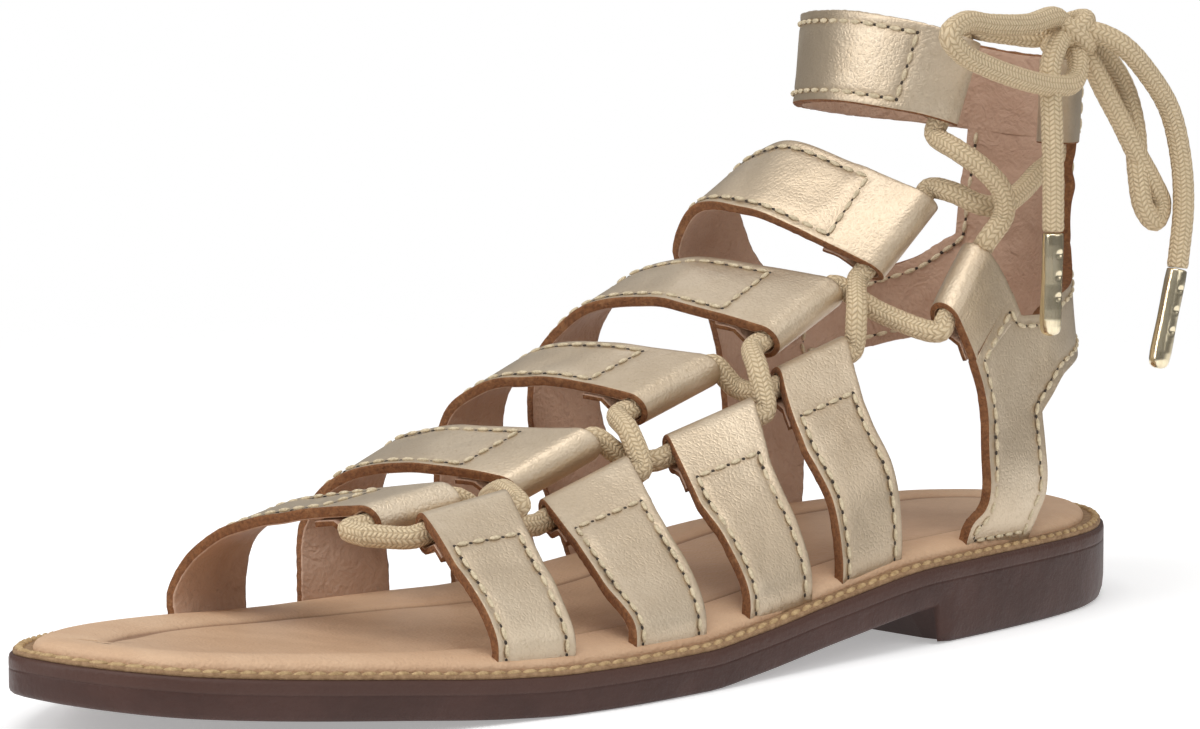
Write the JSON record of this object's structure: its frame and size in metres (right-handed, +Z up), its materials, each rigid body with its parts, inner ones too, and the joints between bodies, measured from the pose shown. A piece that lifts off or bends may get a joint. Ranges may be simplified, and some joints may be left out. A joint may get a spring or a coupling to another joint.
{
  "type": "gladiator sandal",
  "caption": "Left flat lace-up gladiator sandal: paired side straps folded round a crossed lace, open toe and heel, ankle cuff with a bow.",
  "frame": {"origin": "on the floor under the middle of the shoe's box, laces left out", "axes": "+Z up, -Y towards the toe, +X towards the lateral side"},
  "size_m": [0.0848, 0.2554, 0.1157],
  "materials": {
    "gold": "pale gold metallic leather, fine crinkled grain, satin sheen",
    "sole": "dark brown stacked-look sole edge, semi-matte",
    "welt": "tan edge strip with thick stitching",
    "insole": "nude-tan smooth leather over thin padding",
    "lace": "wheat-coloured round braided cotton, matt",
    "aglet": "polished pale gold metal"
  },
  "bodies": {
    "root": {"outsole": "sole", "welt": "welt", "insole": "insole", "heel_quarter": "gold", "lateral_strap_1": "gold", "lateral_strap_2": "gold", "lateral_strap_3": "gold", "lateral_strap_4": "gold", "medial_strap_1": "gold", "medial_strap_2": "gold", "medial_strap_3": "gold", "medial_strap_4": "gold", "lacing": "lace", "lace_bow": "lace", "aglet_1": "aglet", "aglet_2": "aglet"}
  },
  "joints": []
}
